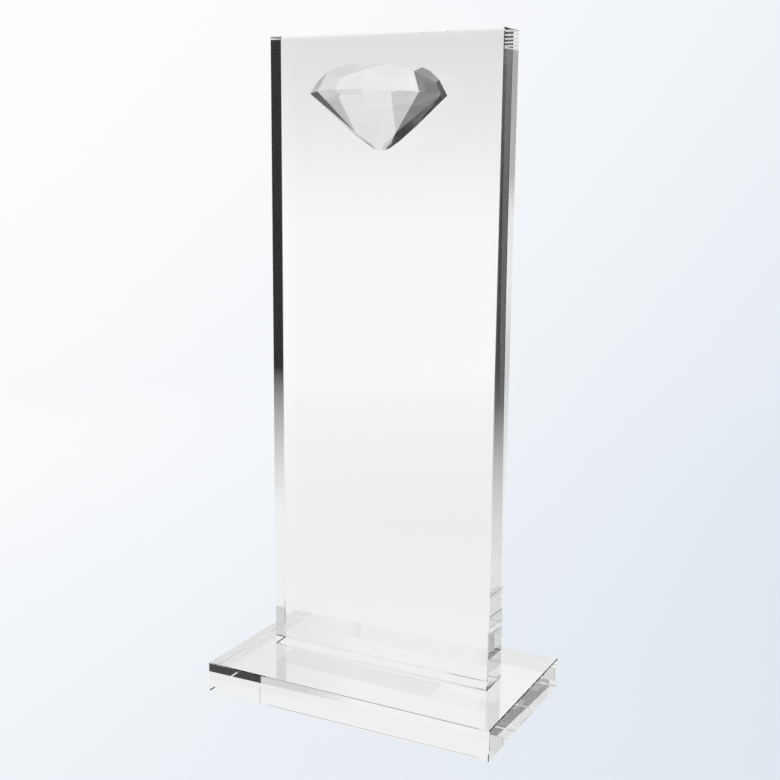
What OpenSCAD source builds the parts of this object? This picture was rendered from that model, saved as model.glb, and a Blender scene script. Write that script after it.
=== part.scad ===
// Crystal award: a tall clear slab standing on a flat base plate, with half of
// a round brilliant-cut diamond bonded high on the front face.
// Millimetres. +Z is up and the front face looks along -Y. The origin is the
// middle of the base plate's underside.

/* [Base plate] */
// Width of the base plate, left to right
base_w = 121; // [108:1:180]
// Depth of the base plate, front to back
base_d = 71; // [48:1:120]
// Thickness of the base plate
base_t = 12; // [8:0.5:25]
// Width of the polished 45 degree bevel on every edge of the base plate
base_bevel = 0.3; // [0.2:0.1:2]

/* [Upright slab] */
// Width of the slab, left to right
slab_w = 94.8; // [72:0.2:104]
// Height of the slab above its bond line
slab_h = 242; // [120:1:340]
// Thickness of the slab, front to back
slab_t = 13.4; // [8:0.2:25]
// Width of the polished 45 degree bevel on every edge of the slab
slab_bevel = 0.3; // [0.2:0.1:2]

/* [Half diamond] */
// Width of the diamond at its girdle, corner to corner
gem_d = 52; // [30:1:66]
// How far the diamond sits to the right of the slab's middle
gem_shift = 0.7; // [-3:0.1:3]
// Distance from the slab's top edge down to the diamond's girdle
gem_drop = 22.5; // [18:0.5:70]
// Height of the thin polished band round the girdle
girdle_h = 0.4; // [0.2:0.1:1.2]
// Height of the flat table above the girdle, as a share of the diamond's width
crown_share = 0.18; // [0.15:0.005:0.21]
// Slope of the eight main facets under the girdle, in degrees
main_angle = 38.8; // [37:0.2:42]
// How much steeper the sixteen lower girdle facets are, in degrees
lower_extra = 2; // [1:0.2:3]
// Slope of the sixteen upper girdle facets, in degrees
upper_angle = 60; // [56:1:64]
// Slope of the eight kite facets of the crown, in degrees
kite_angle = 41; // [38:0.5:43]
// Slope of the eight star facets beside the table, in degrees
star_angle = 23; // [20:0.5:26]
// Radius of the rounded tip at the bottom of the diamond
tip_r = 6.4; // [4:0.2:8]
// Turn of the facet pattern about the diamond's own axis, in degrees
gem_turn = 11.25; // [0:1.25:45]
// How far the diamond's axis leans from upright, girdle front up, in degrees
gem_lean = 3; // [0:0.5:6]

/* [Adhesive] */
// Thickness of the clear adhesive films
glue_t = 0.1; // [0.05:0.05:0.3]

/* [Hidden] */
$fn = 96;

glass_tint = [0.86, 0.91, 0.93, 0.45];
gem_tint = [0.92, 0.94, 0.92, 0.5];
film_tint = [0.95, 0.96, 0.9, 0.6];

// Heights of the stack, from the table top upwards
slab_foot_z = base_t + glue_t;
slab_top_z = slab_foot_z + slab_h;
slab_front_y = -slab_t / 2;

// Diamond: the girdle is a polygon with sixteen corners
gem_r = gem_d / 2;
mains = 8;
main_step = 360 / mains;
girdle_step = main_step / 2;
girdle_flat_r = gem_r * cos(girdle_step / 2);
gem_z = slab_top_z - gem_drop;
table_z = gem_d * crown_share;
lower_angle = main_angle + lower_extra;
// The upper girdle facets and the kites cross at this share of the radius
crown_break_share = 0.845;
crown_break_r = gem_r * crown_break_share;
crown_break_flat_r = crown_break_r * cos(girdle_step / 2);
crown_break_z = girdle_h / 2 + (girdle_flat_r - crown_break_flat_r) * tan(upper_angle);
kite_r = crown_break_r * cos(girdle_step);
// The stars leave from the same points as the kites
star_r = crown_break_r;
// The rounded tip runs out into a cone this much shallower than the main facets
tip_ease = 5;
tip_slope = main_angle - tip_ease;
tip_steps = 6;
// Where the main facets would meet, and how far the cone starts above that
main_apex_z = -girdle_h / 2 - gem_r * tan(main_angle);
tip_cone_share = 0.11;
tip_cone_apex_z = main_apex_z + tip_cone_share * tip_r;
tip_centre_z = tip_cone_apex_z + tip_r / cos(tip_slope);
// Side of the blocks that stand for the half-spaces of the facets
reach = 4 * gem_d;

// A block with the same polished bevel on all twelve edges, centred on Z
module bevelled_profile(a, b, bevel) {
    polygon([
        [-a / 2 + bevel, -b / 2], [a / 2 - bevel, -b / 2],
        [a / 2, -b / 2 + bevel], [a / 2, b / 2 - bevel],
        [a / 2 - bevel, b / 2], [-a / 2 + bevel, b / 2],
        [-a / 2, b / 2 - bevel], [-a / 2, -b / 2 + bevel]
    ]);
}

module bevelled_block(w, d, h, bevel) {
    translate([0, 0, h / 2])
        intersection() {
            linear_extrude(height = h, center = true)
                bevelled_profile(w, d, bevel);
            rotate([90, 0, 0])
                linear_extrude(height = d, center = true)
                    bevelled_profile(w, h, bevel);
            rotate([90, 0, 90])
                linear_extrude(height = w, center = true)
                    bevelled_profile(d, h, bevel);
        }
}

// What a flat facet leaves standing: everything under a plane that slopes
// down and outwards at the given angle through the point (r, z)
module under_crown_facet(turn, angle, r, z) {
    rotate([0, 0, -turn])
        translate([r, 0, z])
            rotate([0, angle, 0])
                translate([-reach / 2, -reach / 2, -reach])
                    cube(reach);
}

// The same below the girdle: everything above a plane that slopes up and out
module over_pavilion_facet(turn, angle, r, z) {
    rotate([0, 0, -turn])
        translate([r, 0, z])
            rotate([0, -angle, 0])
                translate([-reach / 2, -reach / 2, 0])
                    cube(reach);
}

// Rounded tip: a ball that runs out into a shallow cone
module tip_limit() {
    arc = [for (i = [0 : tip_steps])
        let (a = tip_slope * i / tip_steps)
        [tip_r * sin(a), tip_centre_z - tip_r * cos(a)]];
    outer = [
        [reach / 2, tip_cone_apex_z + reach / 2 * tan(tip_slope)],
        [0, tip_cone_apex_z + reach / 2 * tan(tip_slope)]
    ];
    rotate_extrude()
        polygon(concat(arc, outer));
}

// The whole brilliant about its own axis, girdle at z = 0
module brilliant() {
    intersection() {
        rotate([0, 0, -gem_turn])
            cylinder(r = gem_r, h = 2 * gem_d, center = true, $fn = 2 * mains);
        translate([-reach / 2, -reach / 2, table_z - reach])
            cube(reach);
        intersection_for (k = [0 : 2 * mains - 1])
            under_crown_facet(
                gem_turn + girdle_step * (k + 0.5), upper_angle,
                girdle_flat_r, girdle_h / 2
            );
        intersection_for (k = [0 : mains - 1])
            under_crown_facet(gem_turn + main_step * k, kite_angle, kite_r, crown_break_z);
        intersection_for (k = [0 : mains - 1])
            under_crown_facet(
                gem_turn + main_step * (k + 0.5), star_angle, star_r, crown_break_z
            );
        intersection_for (k = [0 : 2 * mains - 1])
            over_pavilion_facet(
                gem_turn + girdle_step * (k + 0.5), lower_angle,
                girdle_flat_r, -girdle_h / 2
            );
        intersection_for (k = [0 : mains - 1])
            over_pavilion_facet(gem_turn + main_step * k, main_angle, gem_r, -girdle_h / 2);
        tip_limit();
    }
}

// The brilliant set on the slab's front face, before it is cut in half
module placed_brilliant() {
    translate([gem_shift, slab_front_y, gem_z])
        rotate([-gem_lean, 0, 0])
            brilliant();
}

// Everything between two depths in front of the slab's front face
module front_layer(near, far) {
    translate([-reach / 2, slab_front_y - far, gem_z - reach / 2])
        cube([reach, far - near, reach]);
}

module base_plate() {
    color(glass_tint)
        bevelled_block(base_w, base_d, base_t, base_bevel);
}

// Clear film under the slab, as large as the flat left inside its bevels
module base_bond_film() {
    color(film_tint)
        translate([-slab_w / 2 + slab_bevel, -slab_t / 2 + slab_bevel, base_t])
            cube([slab_w - 2 * slab_bevel, slab_t - 2 * slab_bevel, glue_t]);
}

module upright_slab() {
    color(glass_tint)
        translate([0, 0, slab_foot_z])
            bevelled_block(slab_w, slab_t, slab_h, slab_bevel);
}

// Clear film behind the diamond, cut to the diamond's own outline
module gem_bond_film() {
    color(film_tint)
        intersection() {
            placed_brilliant();
            front_layer(0, glue_t);
        }
}

module half_diamond() {
    color(gem_tint)
        intersection() {
            placed_brilliant();
            front_layer(glue_t, reach / 2);
        }
}

base_plate();
base_bond_film();
upright_slab();
gem_bond_film();
half_diamond();
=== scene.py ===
"""Looks of the crystal award: clear glass pieces, a pale table and the studio round them."""
import math

import bmesh
import bpy
from mathutils import Matrix, Vector
from mathutils.geometry import delaunay_2d_cdt


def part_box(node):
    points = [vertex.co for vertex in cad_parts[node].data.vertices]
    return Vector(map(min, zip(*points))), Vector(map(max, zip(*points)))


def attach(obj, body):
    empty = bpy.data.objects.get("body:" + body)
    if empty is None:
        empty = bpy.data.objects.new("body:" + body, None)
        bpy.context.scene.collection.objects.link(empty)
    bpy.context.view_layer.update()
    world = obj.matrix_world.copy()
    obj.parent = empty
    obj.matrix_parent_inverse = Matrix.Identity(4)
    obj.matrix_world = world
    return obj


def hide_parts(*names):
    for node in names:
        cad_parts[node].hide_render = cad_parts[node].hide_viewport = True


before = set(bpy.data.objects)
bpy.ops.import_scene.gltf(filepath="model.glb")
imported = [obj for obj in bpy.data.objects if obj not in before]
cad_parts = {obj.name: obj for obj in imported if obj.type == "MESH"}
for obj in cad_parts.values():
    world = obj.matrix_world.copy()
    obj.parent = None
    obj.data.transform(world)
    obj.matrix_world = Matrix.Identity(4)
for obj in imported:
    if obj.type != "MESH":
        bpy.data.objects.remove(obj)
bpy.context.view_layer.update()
MM = 0.001

# ---------------------------------------------------------------- camera
VIEW_TURN = math.radians(27.48)
VIEW_DROP = math.radians(11.08)
VIEW_ROLL = math.radians(0.55)
CAMERA_PLACE = Vector((0.2079, -0.3972, 0.2104))
SENSOR_MM = 36.0
LENS_MM = 55.0
NEAREST = 0.01


def make_camera():
    """The camera stands in front of the award, to its right, and looks a little down."""
    data = bpy.data.cameras.new("camera")
    data.sensor_width = SENSOR_MM
    data.lens = LENS_MM
    data.clip_start = NEAREST
    camera = bpy.data.objects.new("camera", data)
    turn = Matrix.Rotation(VIEW_TURN, 4, "Z")
    tip = Matrix.Rotation(math.pi / 2 - VIEW_DROP, 4, "X")
    roll = Matrix.Rotation(VIEW_ROLL, 4, "Z")
    camera.matrix_world = Matrix.Translation(CAMERA_PLACE) @ turn @ tip @ roll
    bpy.context.scene.collection.objects.link(camera)
    bpy.context.scene.camera = camera


# ---------------------------------------------------------------- node helpers
class Nodes:
    """Short names for the nodes that the materials and the world are made of."""

    def __init__(self, tree):
        self.tree = tree
        tree.nodes.clear()

    def add(self, kind, **settings):
        node = self.tree.nodes.new(kind)
        for name, value in settings.items():
            setattr(node, name, value)
        return node

    def put(self, socket, value):
        if isinstance(value, bpy.types.NodeSocket):
            self.tree.links.new(value, socket)
        elif value is not None:
            socket.default_value = value

    def math(self, operation, a, b=None, c=None, clamp=False):
        node = self.add("ShaderNodeMath", operation=operation, use_clamp=clamp)
        for socket, value in zip(node.inputs, (a, b, c)):
            self.put(socket, value)
        return node.outputs[0]

    def ramp(self, value, low, high):
        """0 at low, 1 at high, smooth between; low may be the greater of the two."""
        node = self.add("ShaderNodeMapRange", interpolation_type="SMOOTHSTEP")
        self.put(node.inputs["Value"], value)
        node.inputs["From Min"].default_value = low
        node.inputs["From Max"].default_value = high
        return node.outputs["Result"]

    def band(self, value, rise_from, rise_to, fall_from, fall_to):
        """0 outside a band of values, 1 inside it, smooth at both edges."""
        up = self.ramp(value, rise_from, rise_to)
        return self.math("MULTIPLY", up, self.ramp(value, fall_to, fall_from))

    def dot(self, vector, fixed):
        node = self.add("ShaderNodeVectorMath", operation="DOT_PRODUCT")
        self.put(node.inputs[0], vector)
        node.inputs[1].default_value = fixed
        return node.outputs["Value"]

    def mix(self, share, a, b):
        """Colour a where share is 0, colour b where it is 1."""
        node = self.add("ShaderNodeMix", data_type="RGBA")
        self.put(node.inputs[0], share)
        self.put(node.inputs[6], a)
        self.put(node.inputs[7], b)
        return node.outputs[2]

    def blend(self, share, a, b):
        """Number a where share is 0, number b where it is 1."""
        node = self.add("ShaderNodeMix", data_type="FLOAT")
        self.put(node.inputs[0], share)
        self.put(node.inputs[2], a)
        self.put(node.inputs[3], b)
        return node.outputs[0]

    def steps(self, value, stops):
        """A number that runs straight from stop to stop; a stop is a value and what it becomes."""
        low, high = stops[0][0], stops[-1][0]
        place = self.add("ShaderNodeMapRange")
        self.put(place.inputs["Value"], value)
        place.inputs["From Min"].default_value = low
        place.inputs["From Max"].default_value = high
        node = self.add("ShaderNodeValToRGB")
        self.put(node.inputs[0], place.outputs["Result"])
        line = node.color_ramp.elements
        while len(line) < len(stops):
            line.new(1.0)
        for element, (at, number) in zip(line, stops):
            element.position = (at - low) / (high - low)
            element.color = (number, number, number, 1.0)
        return node.outputs["Color"]

    def mix_shader(self, share, a, b):
        node = self.add("ShaderNodeMixShader")
        self.put(node.inputs[0], share)
        self.put(node.inputs[1], a)
        self.put(node.inputs[2], b)
        return node.outputs[0]

    def noise(self, vector, scale, detail=2.0, roughness=0.5):
        node = self.add("ShaderNodeTexNoise")
        self.put(node.inputs["Vector"], vector)
        node.inputs["Scale"].default_value = scale
        node.inputs["Detail"].default_value = detail
        node.inputs["Roughness"].default_value = roughness
        return node.outputs["Fac"]

    def finish(self, socket, kind="ShaderNodeOutputMaterial"):
        self.put(self.add(kind).inputs["Surface"], socket)


def new_material(name):
    material = bpy.data.materials.new(name)
    material.use_nodes = True
    return material, Nodes(material.node_tree)


# ---------------------------------------------------------------- studio
# What the camera itself sees behind the award: a gradient from the upper left to the lower right;
# the table's painted light runs between the same two colours
SEEN_LIGHT = (0.995, 0.991, 0.998, 1.0)
SEEN_BLUE = (0.737, 0.803, 0.871, 1.0)
SEEN_SLOPE = (1.256, -0.272, -0.807)
SEEN_START = 1.102
# What the glass sees, which is not what the camera sees. Azimuths run in degrees from +Y towards
# +X; each stop is an azimuth and a brightness. A pale sweep stands behind the award, with grey
# walls to its left and a black flag to its right, and a pale wall stands in front on the right.
# The brightnesses are set for the camera's own view.
LOW_STOPS = (
    (-105.0, 0.0), (-95.0, 0.35), (-60.0, 0.10), (-50.0, 0.10), (-46.0, 0.30), (-40.0, 0.26),
    (-38.0, 1.03), (8.0, 1.03), (12.0, 0.005), (85.0, 0.005), (95.0, 0.0),
    (120.0, 0.6), (165.0, 0.6), (172.0, 0.0),
)
HIGH_STOPS = (
    (-150.0, 0.18), (-100.0, 0.17), (-60.0, 0.04), (-41.5, 0.04), (-40.0, 0.20), (-37.0, 0.20),
    (-36.0, 0.68), (-31.0, 0.68), (-29.5, 0.91), (-15.5, 0.91), (-14.5, 0.60), (-8.0, 0.60),
    (-6.0, 0.12), (8.0, 0.12), (12.0, 0.005), (85.0, 0.005), (100.0, 0.17), (150.0, 0.18),
)
# A bright window high in front of the award, to its left
WINDOW_BRIGHT = 0.7
WINDOW_BAND = (-157.4, -157.1, -144.0, -138.0)
# The low part is the sweep and the walls; above this height the high stops take over
LOW_TO_HIGH = (11.0, 14.0)
SWEEP_MIDDLE = 0.77
SWEEP_FADE = (-5.0, 7.0)
# A dimmer column in the sweep; each stop is a height in degrees and a share
COLUMN_BAND = (-22.15, -21.9, -20.8, -20.3)
COLUMN_STOPS = (
    (-90.0, 0.76), (-9.0, 0.76), (-6.0, 1.0), (-2.5, 1.0), (-0.8, 0.56), (90.0, 0.56),
)
# How the sweep darkens towards its foot on the right side
RIGHT_SIDE = (-19.5, -17.5)
FOOT_STOPS = ((-90.0, 0.08), (-26.0, 0.08), (-23.0, 0.93), (-5.0, 0.93), (-2.0, 1.0), (90.0, 1.0))
# The room in front of the award, and the ceiling
FRONT_SIDE = (92.0, 108.0)
FRONT_FADE = (-3.0, 7.0)
FRONT_LOW = 0.065
FRONT_MIDDLE = 0.17
# Straight in front of the award the room is pale
PALE_SIDE = (166.0, 171.0)
FRONT_PALE = 0.6
CEILING_FADE = (42.0, 58.0)
CEILING = 0.5


def make_world():
    """The camera sees a plain gradient; the glass sees a dim room with a pale sweep."""
    world = bpy.data.worlds.new("studio")
    bpy.context.scene.world = world
    world.use_nodes = True
    n = Nodes(world.node_tree)
    direction = n.add("ShaderNodeTexCoord").outputs["Generated"]
    split = n.add("ShaderNodeSeparateXYZ")
    n.put(split.inputs[0], direction)
    x, y, z = split.outputs
    azimuth = n.math("DEGREES", n.math("ARCTAN2", x, y))
    height = n.math("DEGREES", n.math("ARCSINE", z))

    fall = n.blend(n.ramp(height, *SWEEP_FADE), 1.0, SWEEP_MIDDLE)
    column = n.band(azimuth, *COLUMN_BAND)
    fall = n.math("MULTIPLY", fall, n.blend(column, 1.0, n.steps(height, COLUMN_STOPS)))
    right = n.ramp(azimuth, *RIGHT_SIDE)
    fall = n.math("MULTIPLY", fall, n.blend(right, 1.0, n.steps(height, FOOT_STOPS)))
    turn = n.math("ABSOLUTE", azimuth)
    room = n.blend(n.ramp(height, *FRONT_FADE), FRONT_LOW, FRONT_MIDDLE)
    room = n.blend(n.ramp(turn, *PALE_SIDE), room, FRONT_PALE)
    front = n.math("MULTIPLY", n.ramp(turn, *FRONT_SIDE), room)
    low = n.math("MULTIPLY_ADD", n.steps(azimuth, LOW_STOPS), fall, front)
    window = n.band(azimuth, *WINDOW_BAND)
    high = n.blend(window, n.steps(azimuth, HIGH_STOPS), WINDOW_BRIGHT)
    studio = n.blend(n.ramp(height, *LOW_TO_HIGH), low, high)
    studio = n.blend(n.ramp(height, *CEILING_FADE), studio, CEILING)

    share = n.math("ADD", n.dot(direction, SEEN_SLOPE), SEEN_START, clamp=True)
    seen = n.mix(share, SEEN_LIGHT, SEEN_BLUE)

    path = n.add("ShaderNodeLightPath")
    light = n.add("ShaderNodeBackground")
    n.put(light.inputs["Color"], n.mix(path.outputs["Is Camera Ray"], studio, seen))
    n.finish(light.outputs[0], "ShaderNodeOutputWorld")


TABLE_RADIUS = 0.62
TABLE_FULL = 0.13
TABLE_PLACE = Vector((0.0, 0.10, -0.15 * MM))
TABLE_RINGS = 96
TABLE_BRIGHT = 0.885
TABLE_GLOW = 0.955
# How far the table's own diffuse colour is mixed to black; its glow gives the rest
TABLE_SHADE = 0.85
BLACK = (0.0, 0.0, 0.0, 1.0)
# Painted light on the table: its glow and diffuse colour run from near white to a dimmer blue along
# its own x and y in metres
TABLE_PAINTED_LIGHT_SLOPE = (1.75, 0.245, 0.0)
TABLE_PAINTED_LIGHT_START = 0.7245
# The bright table stops short behind the award, to the right of what the slab shows
NOTCH_SIDE = (1.0, 0.404, 0.0)
NOTCH_LEFT = (0.012, 0.03)
NOTCH_RIGHT = (0.055, 0.04)
NOTCH_DEPTH = (0.06, 0.09, 0.30, 0.36)


def make_table():
    """A round pale table that fades out towards its edge, so that no horizon shows. It glows with
    painted light that gets darker and bluer towards its +x side, and to the glass it is a bright
    glowing sheet with a see-through notch.
    """
    material, n = new_material("pale_table")
    place = n.add("ShaderNodeTexCoord").outputs["Object"]
    share = n.math("ADD", n.dot(place, TABLE_PAINTED_LIGHT_SLOPE), TABLE_PAINTED_LIGHT_START, clamp=True)
    # Painted light: the table's glow and diffuse colour, darker and bluer towards its +x side
    tint = n.mix(share, SEEN_LIGHT, SEEN_BLUE)
    diffuse = n.add("ShaderNodeBsdfDiffuse")
    n.put(diffuse.inputs["Color"], n.mix(TABLE_SHADE, tint, BLACK))
    glow = n.add("ShaderNodeEmission")
    n.put(glow.inputs["Color"], tint)
    glow.inputs["Strength"].default_value = TABLE_GLOW
    seen = n.add("ShaderNodeAddShader")
    n.put(seen.inputs[0], diffuse.outputs[0])
    n.put(seen.inputs[1], glow.outputs[0])
    clear = n.add("ShaderNodeBsdfTransparent")
    split = n.add("ShaderNodeSeparateXYZ")
    n.put(split.inputs[0], place)
    notch = n.band(split.outputs["Y"], *NOTCH_DEPTH)
    notch = n.math("MULTIPLY", notch, n.ramp(n.dot(place, NOTCH_SIDE), *NOTCH_LEFT))
    notch = n.math("MULTIPLY", notch, n.ramp(split.outputs["X"], *NOTCH_RIGHT))
    bright = n.add("ShaderNodeEmission")
    bright.inputs["Strength"].default_value = TABLE_BRIGHT
    lit = n.mix_shader(notch, bright.outputs[0], clear.outputs[0])
    path = n.add("ShaderNodeLightPath")
    surface = n.mix_shader(path.outputs["Is Camera Ray"], lit, seen.outputs[0])
    length = n.add("ShaderNodeVectorMath", operation="LENGTH")
    n.put(length.inputs[0], place)
    fade = n.add("ShaderNodeMapRange")
    n.put(fade.inputs["Value"], length.outputs["Value"])
    fade.inputs["From Min"].default_value = TABLE_FULL
    fade.inputs["From Max"].default_value = TABLE_RADIUS
    n.finish(n.mix_shader(fade.outputs["Result"], surface, clear.outputs[0]))

    mesh = bpy.data.meshes.new("table")
    shape = bmesh.new()
    bmesh.ops.create_circle(shape, cap_ends=True, segments=TABLE_RINGS, radius=TABLE_RADIUS)
    shape.to_mesh(mesh)
    shape.free()
    mesh.materials.append(material)
    table = bpy.data.objects.new("table", mesh)
    table.location = TABLE_PLACE
    bpy.context.scene.collection.objects.link(table)


# ---------------------------------------------------------------- materials
SLAB_IOR = 1.52
BASE_IOR = 1.60
GEM_IOR = 1.52
FILM_IOR = 1.50
# The film behind the diamond is shown this share of its thickness, so that no faces coincide
FILM_SHARE = 0.6
CLEAR_TINTS = ((0.985, 0.985, 0.985, 1.0), (0.995, 0.995, 0.995, 1.0))
GEM_TINTS = ((0.79, 0.80, 0.765, 1.0), (0.85, 0.86, 0.825, 1.0))
WET_TINTS = ((1.0, 1.0, 1.0, 1.0), (0.985, 0.99, 0.985, 1.0))
EDGE_TINTS = ((0.8, 0.81, 0.8, 1.0), (0.95, 0.95, 0.93, 1.0))
# Fineness of the slow changes in each, in cycles per metre
PLATE_VEINS = 9.0
GEM_VEINS = 25.0
WET_VEINS = 90.0
EDGE_VEINS = 220.0
EDGE_ROUGHNESS = 0.1
EDGE_ROUGHNESS_DRIFT = 0.2


def glass(name, ior, tints, veins):
    """Polished optical glass whose tint drifts a little, as it does from the melt."""
    material, n = new_material(name)
    place = n.add("ShaderNodeTexCoord").outputs["Object"]
    shader = n.add("ShaderNodeBsdfPrincipled")
    shader.inputs["Transmission Weight"].default_value = 1.0
    shader.inputs["IOR"].default_value = ior
    shader.inputs["Roughness"].default_value = 0.0
    n.put(shader.inputs["Base Color"], n.mix(n.noise(place, veins), *tints))
    n.finish(shader.outputs[0])
    return material


def bonded_face(name):
    """A face that the adhesive wets: light goes straight on into the next piece."""
    material, n = new_material(name)
    place = n.add("ShaderNodeTexCoord").outputs["Object"]
    clear = n.add("ShaderNodeBsdfTransparent")
    n.put(clear.inputs["Color"], n.mix(n.noise(place, WET_VEINS), *WET_TINTS))
    n.finish(clear.outputs[0])
    return material


def film_edge(name):
    """The thin edge of the cured adhesive, a little cloudy."""
    material, n = new_material(name)
    place = n.add("ShaderNodeTexCoord").outputs["Object"]
    shader = n.add("ShaderNodeBsdfPrincipled")
    shader.inputs["Transmission Weight"].default_value = 1.0
    shader.inputs["IOR"].default_value = FILM_IOR
    cloud = n.noise(place, EDGE_VEINS, detail=3.0)
    n.put(shader.inputs["Base Color"], n.mix(cloud, *EDGE_TINTS))
    rough = n.math("MULTIPLY_ADD", cloud, EDGE_ROUGHNESS_DRIFT, EDGE_ROUGHNESS)
    n.put(shader.inputs["Roughness"], rough)
    n.finish(shader.outputs[0])
    return material


# ---------------------------------------------------------------- pieces
SAME_PLACE = 1e-6
FLAT_ANGLE = math.radians(0.5)
# A normal with a share of its axis above this one is taken as square to it
SQUARE = 0.999
# Digits of a metre to which two corners have to agree to be one
CORNER_DIGITS = 7
UP = 2
# Place of the wetted glass among a piece's materials
WET = 1
# What the triangulation is asked for: triangles inside the rim, with this slack
INSIDE_ONLY = 1
SLACK = 1e-9


def cad_shape(name):
    """The mesh of a CAD node, as a new bmesh."""
    shape = bmesh.new()
    shape.from_mesh(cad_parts[name].data)
    bmesh.ops.remove_doubles(shape, verts=shape.verts, dist=SAME_PLACE)
    bmesh.ops.dissolve_limit(
        shape, angle_limit=FLAT_ANGLE, verts=shape.verts, edges=shape.edges
    )
    return shape


def outline_on(node, axis, level):
    """Corners, in order, of a CAD film's outline on the face where axis has this value."""
    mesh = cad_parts[node].data
    u, v = [i for i in range(3) if i != axis]
    found = {}
    for vertex in mesh.vertices:
        co = vertex.co
        if abs(co[axis] - level) < SAME_PLACE:
            found[(round(co[u], CORNER_DIGITS), round(co[v], CORNER_DIGITS))] = co.copy()
    points = list(found.values())
    cu = sum(p[u] for p in points) / len(points)
    cv = sum(p[v] for p in points) / len(points)
    points.sort(key=lambda p: math.atan2(p[v] - cv, p[u] - cu))
    return points


def imprint(shape, axis, level, outline, material_index):
    """Cuts an outline into the flat face on which it lies; the part inside has its own material."""
    u, v = [i for i in range(3) if i != axis]
    face = max(
        (f for f in shape.faces if all(abs(w.co[axis] - level) < SAME_PLACE for w in f.verts)),
        key=lambda f: f.calc_area(),
    )
    rim = list(face.verts)
    flat = [Vector((w.co[u], w.co[v])) for w in rim] + [Vector((p[u], p[v])) for p in outline]
    count, inner = len(rim), len(outline)
    edges = [(i, (i + 1) % count) for i in range(count)]
    edges += [(count + i, count + (i + 1) % inner) for i in range(inner)]
    places, _, faces, origin, _, _ = delaunay_2d_cdt(flat, edges, [], INSIDE_ONLY, SLACK)
    normal = face.normal.copy()
    shape.faces.remove(face)
    verts = []
    for place, source in zip(places, origin):
        if source and source[0] < count:
            verts.append(rim[source[0]])
            continue
        co = Vector((0.0, 0.0, 0.0))
        co[u], co[v], co[axis] = place[0], place[1], level
        verts.append(shape.verts.new(co))
    inside = set()
    for i, source in enumerate(origin):
        if any(count <= s < count + inner for s in source):
            inside.add(i)
    for indices in faces:
        new = shape.faces.new([verts[i] for i in indices])
        new.normal_update()
        if new.normal.dot(normal) < 0:
            new.normal_flip()
        if all(i in inside for i in indices):
            new.material_index = material_index


def show(shape, name, node, materials):
    """Makes the piece that stands for a CAD node."""
    mesh = bpy.data.meshes.new(name)
    bmesh.ops.recalc_face_normals(shape, faces=shape.faces)
    shape.to_mesh(mesh)
    shape.free()
    for material in materials:
        mesh.materials.append(material)
    piece = bpy.data.objects.new(name, mesh)
    bpy.context.scene.collection.objects.link(piece)
    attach(piece, "root")
    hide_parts(node)
    return piece


def repaint(node, materials, choose):
    """Gives a CAD node these materials, one for each face by what choose says of its normal."""
    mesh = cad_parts[node].data
    mesh.materials.clear()
    for material in materials:
        mesh.materials.append(material)
    for face in mesh.polygons:
        face.material_index = choose(face.normal)


def make_pieces():
    plate = glass("slab_glass", SLAB_IOR, CLEAR_TINTS, PLATE_VEINS)
    foot = glass("base_glass", BASE_IOR, CLEAR_TINTS, PLATE_VEINS)
    gem = glass("gem_glass", GEM_IOR, GEM_TINTS, GEM_VEINS)
    wet = bonded_face("wetted_glass")
    edge = film_edge("adhesive_edge")

    base_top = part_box("base_plate")[1].z
    film_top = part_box("base_bond_film")[1].z

    base = cad_shape("base_plate")
    imprint(base, UP, base_top, outline_on("base_bond_film", UP, base_top), WET)
    show(base, "crystal_base", "base_plate", [foot, wet])

    slab = cad_shape("upright_slab")
    for face in slab.faces:
        if all(abs(v.co.z - film_top) < SAME_PLACE for v in face.verts):
            face.material_index = WET
    show(slab, "crystal_slab", "upright_slab", [plate, wet])

    diamond = cad_shape("half_diamond")
    for face in diamond.faces:
        face.material_index = int(face.normal.y > SQUARE)
    show(diamond, "crystal_half_diamond", "half_diamond", [gem, wet])

    film = cad_shape("gem_bond_film")
    middle = 0.5 * (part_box("gem_bond_film")[0].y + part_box("gem_bond_film")[1].y)
    for vertex in film.verts:
        vertex.co.y = middle + FILM_SHARE * (vertex.co.y - middle)
    for face in film.faces:
        face.material_index = int(abs(face.normal.y) > SQUARE)
    show(film, "adhesive_behind_diamond", "gem_bond_film", [edge, wet])
    repaint("base_bond_film", [edge, wet], lambda normal: int(abs(normal.z) > SQUARE))


# ---------------------------------------------------------------- light paths
# Enough for light that runs the length of the slab between its faces
GLASS_BOUNCES = 32
DIFFUSE_BOUNCES = 4
CLEAR_FACES = 64


def set_light_paths():
    """How often light may meet glass, matt and see-through faces before it is given up."""
    scene = bpy.context.scene
    scene.cycles.max_bounces = GLASS_BOUNCES
    scene.cycles.transmission_bounces = GLASS_BOUNCES
    scene.cycles.glossy_bounces = GLASS_BOUNCES
    scene.cycles.diffuse_bounces = DIFFUSE_BOUNCES
    scene.cycles.transparent_max_bounces = CLEAR_FACES
    scene.cycles.caustics_reflective = True
    scene.cycles.caustics_refractive = True
    scene.cycles.use_denoising = True
    scene.view_settings.view_transform = "Standard"


make_camera()
make_world()
make_table()
make_pieces()
set_light_paths()
